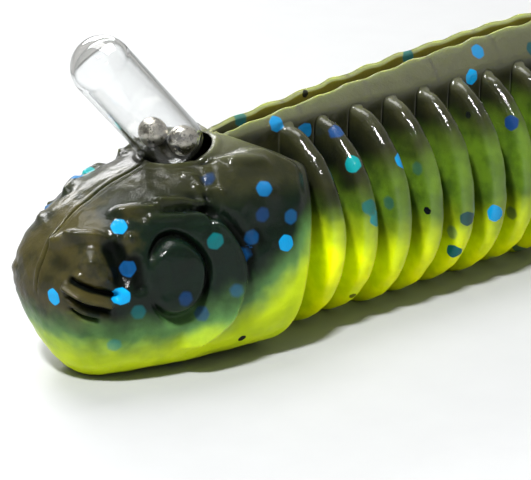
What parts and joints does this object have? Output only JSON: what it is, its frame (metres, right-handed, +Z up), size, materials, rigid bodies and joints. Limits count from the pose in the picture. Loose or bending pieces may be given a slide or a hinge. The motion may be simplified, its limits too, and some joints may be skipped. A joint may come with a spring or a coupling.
{
  "type": "soft plastic worm",
  "caption": "Ribbed two-tone soft plastic fishing worm with a goby-like head, a hook slot along its back and a glass rattle seated in the top of the head.",
  "frame": {"origin": "under the middle of the worm's length, on the plane that its belly rests on", "axes": "+X from the nose towards the tail, +Z up through the back, +Y to the worm's right side"},
  "size_m": [0.076, 0.0112, 0.0168],
  "materials": {
    "smoke_back": "glossy translucent smoke green with blue and black flakes",
    "chartreuse_belly": "glossy translucent chartreuse with blue and black flakes",
    "clear_glass": "clear",
    "rattle_steel": "slightly rough ball surface"
  },
  "bodies": {
    "head": {"head_back": "smoke_back", "head_belly": "chartreuse_belly"},
    "segment_01": {"segment_01_back": "smoke_back", "segment_01_belly": "chartreuse_belly"},
    "segment_02": {"segment_02_back": "smoke_back", "segment_02_belly": "chartreuse_belly"},
    "segment_03": {"segment_03_back": "smoke_back", "segment_03_belly": "chartreuse_belly"},
    "segment_04": {"segment_04_back": "smoke_back", "segment_04_belly": "chartreuse_belly"},
    "segment_05": {"segment_05_back": "smoke_back", "segment_05_belly": "chartreuse_belly"},
    "segment_06": {"segment_06_back": "smoke_back", "segment_06_belly": "chartreuse_belly"},
    "segment_07": {"segment_07_back": "smoke_back", "segment_07_belly": "chartreuse_belly"},
    "segment_08": {"segment_08_back": "smoke_back", "segment_08_belly": "chartreuse_belly"},
    "segment_09": {"segment_09_back": "smoke_back", "segment_09_belly": "chartreuse_belly"},
    "segment_10": {"segment_10_back": "smoke_back", "segment_10_belly": "chartreuse_belly"},
    "tail": {"tail_back": "smoke_back", "tail_belly": "chartreuse_belly"},
    "capsule": {"rattle_capsule": "clear_glass"},
    "ball_lower": {"rattle_ball_lower": "rattle_steel"},
    "ball_upper": {"rattle_ball_upper": "rattle_steel"}
  },
  "joints": [
    {"name": "flex_01_sideways", "type": "hinge", "parent": "head", "child": "segment_01", "pos_m": [-0.0197, 0, 0.005], "axis": [0, 0, 1], "range_deg": [-12, 12], "stiffness_Nm_per_rad": 0.002},
    {"name": "flex_02_up_down", "type": "hinge", "parent": "segment_01", "child": "segment_02", "pos_m": [-0.0153, 0, 0.005], "axis": [0, 1, 0], "range_deg": [-12, 12], "stiffness_Nm_per_rad": 0.002},
    {"name": "flex_03_sideways", "type": "hinge", "parent": "segment_02", "child": "segment_03", "pos_m": [-0.0109, 0, 0.005], "axis": [0, 0, 1], "range_deg": [-12, 12], "stiffness_Nm_per_rad": 0.002},
    {"name": "flex_04_up_down", "type": "hinge", "parent": "segment_03", "child": "segment_04", "pos_m": [-0.0065, 0, 0.005], "axis": [0, 1, 0], "range_deg": [-12, 12], "stiffness_Nm_per_rad": 0.002},
    {"name": "flex_05_sideways", "type": "hinge", "parent": "segment_04", "child": "segment_05", "pos_m": [-0.0021, 0, 0.005], "axis": [0, 0, 1], "range_deg": [-12, 12], "stiffness_Nm_per_rad": 0.002},
    {"name": "flex_06_up_down", "type": "hinge", "parent": "segment_05", "child": "segment_06", "pos_m": [0.0023, 0, 0.005], "axis": [0, 1, 0], "range_deg": [-12, 12], "stiffness_Nm_per_rad": 0.002},
    {"name": "flex_07_sideways", "type": "hinge", "parent": "segment_06", "child": "segment_07", "pos_m": [0.0067, 0, 0.005], "axis": [0, 0, 1], "range_deg": [-12, 12], "stiffness_Nm_per_rad": 0.002},
    {"name": "flex_08_up_down", "type": "hinge", "parent": "segment_07", "child": "segment_08", "pos_m": [0.0111, 0, 0.005], "axis": [0, 1, 0], "range_deg": [-12, 12], "stiffness_Nm_per_rad": 0.002},
    {"name": "flex_09_sideways", "type": "hinge", "parent": "segment_08", "child": "segment_09", "pos_m": [0.0155, 0, 0.005], "axis": [0, 0, 1], "range_deg": [-12, 12], "stiffness_Nm_per_rad": 0.002},
    {"name": "flex_10_up_down", "type": "hinge", "parent": "segment_09", "child": "segment_10", "pos_m": [0.0199, 0, 0.005], "axis": [0, 1, 0], "range_deg": [-12, 12], "stiffness_Nm_per_rad": 0.002},
    {"name": "flex_11_sideways", "type": "hinge", "parent": "segment_10", "child": "tail", "pos_m": [0.0243, 0, 0.005], "axis": [0, 0, 1], "range_deg": [-12, 12], "stiffness_Nm_per_rad": 0.002},
    {"name": "rattle_slide", "type": "slide", "parent": "head", "child": "capsule", "axis": [-0.6691, 0, 0.7431], "range_m": [-0.0066, 0.0012]},
    {"name": "ball_lower_roll", "type": "slide", "parent": "capsule", "child": "ball_lower", "axis": [-0.6691, 0, 0.7431], "range_m": [0, 0.003]},
    {"name": "ball_upper_roll", "type": "slide", "parent": "ball_lower", "child": "ball_upper", "axis": [-0.6691, 0, 0.7431], "range_m": [0, 0.0022]}
  ],
  "couplings": [
    {"joint": "flex_03_sideways", "follows": "flex_01_sideways", "ratio": 1},
    {"joint": "flex_04_up_down", "follows": "flex_02_up_down", "ratio": 1},
    {"joint": "flex_05_sideways", "follows": "flex_01_sideways", "ratio": 1},
    {"joint": "flex_06_up_down", "follows": "flex_02_up_down", "ratio": 1},
    {"joint": "flex_07_sideways", "follows": "flex_01_sideways", "ratio": 1},
    {"joint": "flex_08_up_down", "follows": "flex_02_up_down", "ratio": 1},
    {"joint": "flex_09_sideways", "follows": "flex_01_sideways", "ratio": 1},
    {"joint": "flex_10_up_down", "follows": "flex_02_up_down", "ratio": 1},
    {"joint": "flex_11_sideways", "follows": "flex_01_sideways", "ratio": 1}
  ]
}
